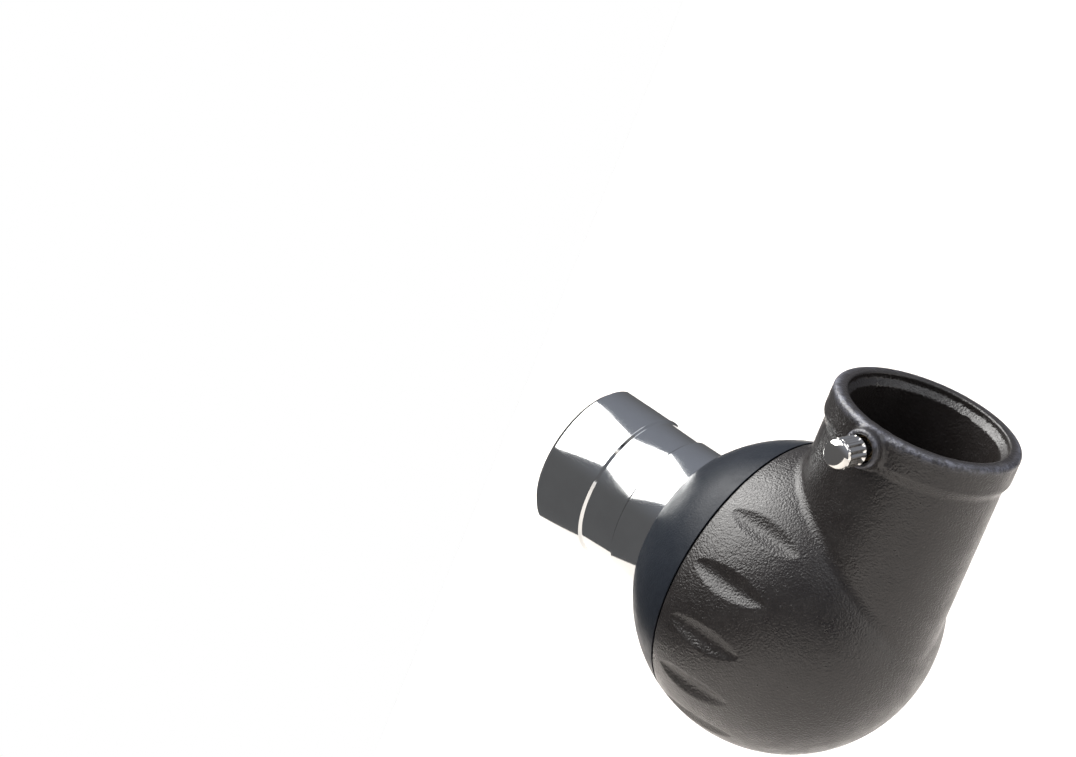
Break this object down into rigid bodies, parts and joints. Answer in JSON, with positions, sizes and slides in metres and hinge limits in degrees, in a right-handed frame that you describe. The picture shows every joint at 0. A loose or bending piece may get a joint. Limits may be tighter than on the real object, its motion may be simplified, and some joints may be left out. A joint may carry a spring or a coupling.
{
  "type": "star diagonal",
  "caption": "Erecting prism star diagonal: ball-shaped moulded housing, push-in nosepiece, eyepiece socket at a right angle and a fluted clamping thumbscrew.",
  "frame": {"origin": "on the telescope's optical axis, in the flat front face that the nosepiece's shoulder sits on", "axes": "-X leaves through the nosepiece towards the telescope, +Z leaves through the eyepiece socket, and the thumbscrew points to -Y"},
  "size_m": [0.0878, 0.0631, 0.081],
  "materials": {
    "housing_plastic": "leather-grained dark charcoal moulding",
    "cover_plastic": "leather-grained dark blue-grey moulding",
    "barrel_chrome": "polished plating",
    "screw_chrome": "polished plating",
    "ring_black": "black anodised",
    "baffle_black": "flat black",
    "prism_glass": "polished and coated",
    "cradle_plastic": "moulded black",
    "cork": "pressed cork",
    "spring_steel": "rolled strip",
    "screw_steel": "zinc plated",
    "insert_brass": "turned",
    "tip_nylon": "natural nylon"
  },
  "bodies": {
    "housing": {"rear_housing": "housing_plastic", "front_cover": "cover_plastic", "nosepiece_barrel": "barrel_chrome", "barrel_lock_ring": "ring_black", "entrance_baffle": "baffle_black", "prism": "prism_glass", "prism_cradle": "cradle_plastic", "cradle_pad_left": "cork", "cradle_pad_right": "cork", "prism_clip": "spring_steel", "clip_pad": "cork", "clip_screw_left": "screw_steel", "clip_screw_right": "screw_steel", "cradle_screw_left": "screw_steel", "cradle_screw_right": "screw_steel", "exit_stop": "baffle_black", "thumbscrew_insert": "insert_brass"},
    "tip": {"thumbscrew_tip": "tip_nylon"},
    "thumbscrew": {"eyepiece_thumbscrew": "screw_chrome"}
  },
  "joints": [
    {"name": "thumbscrew_travel", "type": "slide", "parent": "housing", "child": "tip", "axis": [0, 1, 0], "range_m": [-0.005, 0.001]},
    {"name": "thumbscrew_turn", "type": "hinge", "parent": "tip", "child": "thumbscrew", "pos_m": [0.03785, -0.0226, 0.0453], "axis": [0, 1, 0], "range_deg": [-2572, 515]}
  ],
  "couplings": [
    {"joint": "thumbscrew_turn", "follows": "thumbscrew_travel", "rad_per_m": 8976}
  ]
}
